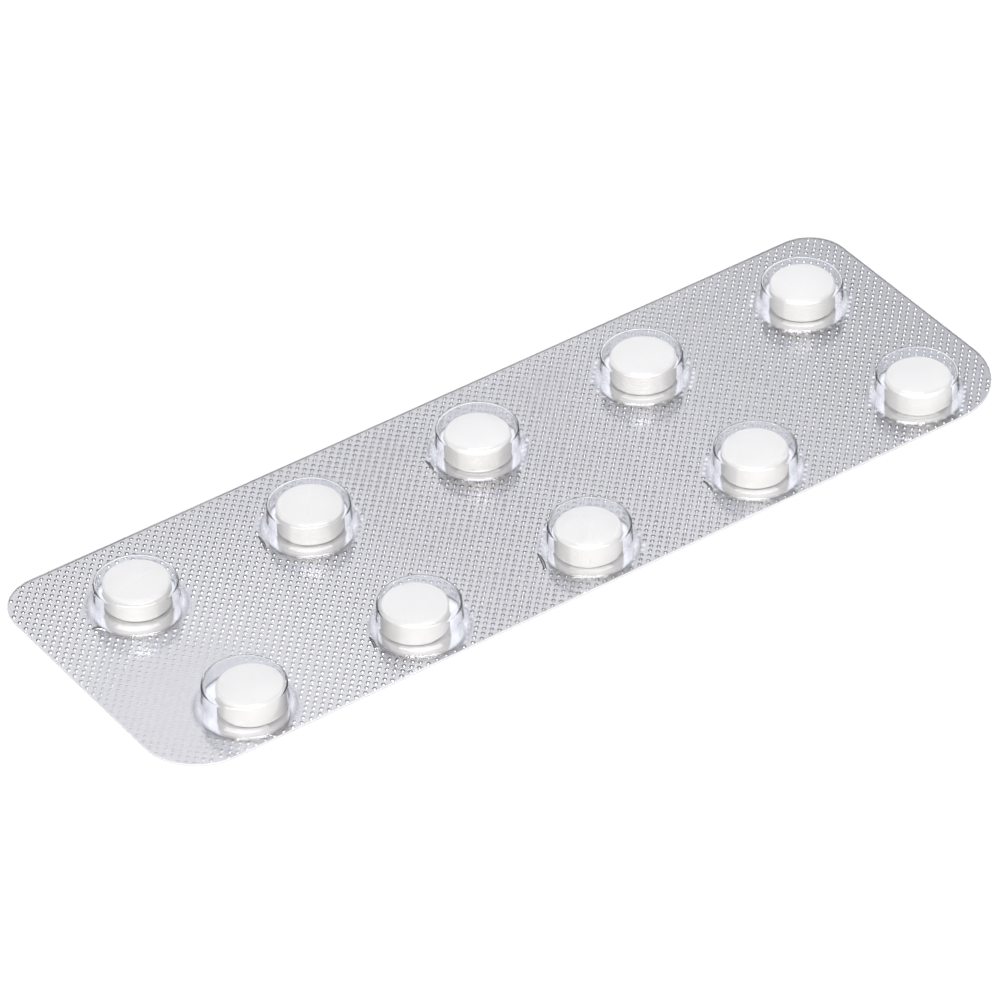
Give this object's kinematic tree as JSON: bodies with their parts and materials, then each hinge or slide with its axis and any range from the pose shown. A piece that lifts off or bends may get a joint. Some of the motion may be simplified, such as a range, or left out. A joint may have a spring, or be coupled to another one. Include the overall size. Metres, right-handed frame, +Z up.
{
  "type": "pill blister pack",
  "caption": "Flat push-through blister pack: a clear formed film with rows of round pockets, each holding a loose scored tablet, sealed by an embossed foil lid.",
  "frame": {"origin": "middle of the card's outline on the underside of the foil, which is the face that the pack lies on", "axes": "+X along the card, +Y across it towards the wide margin, +Z up through the pockets"},
  "size_m": [0.105, 0.0358, 0.0035],
  "materials": {
    "clear_film": "clear glossy formed film",
    "lid_foil": "bright rolled foil embossed with small round dots",
    "tablet": "matt pressed powder, smooth, with a faint score line"
  },
  "bodies": {
    "root": {"form_film": "clear_film", "lidding_foil": "lid_foil", "tablet_01": "tablet", "tablet_02": "tablet", "tablet_03": "tablet", "tablet_04": "tablet", "tablet_05": "tablet", "tablet_06": "tablet", "tablet_07": "tablet", "tablet_08": "tablet", "tablet_09": "tablet", "tablet_10": "tablet"}
  },
  "joints": []
}
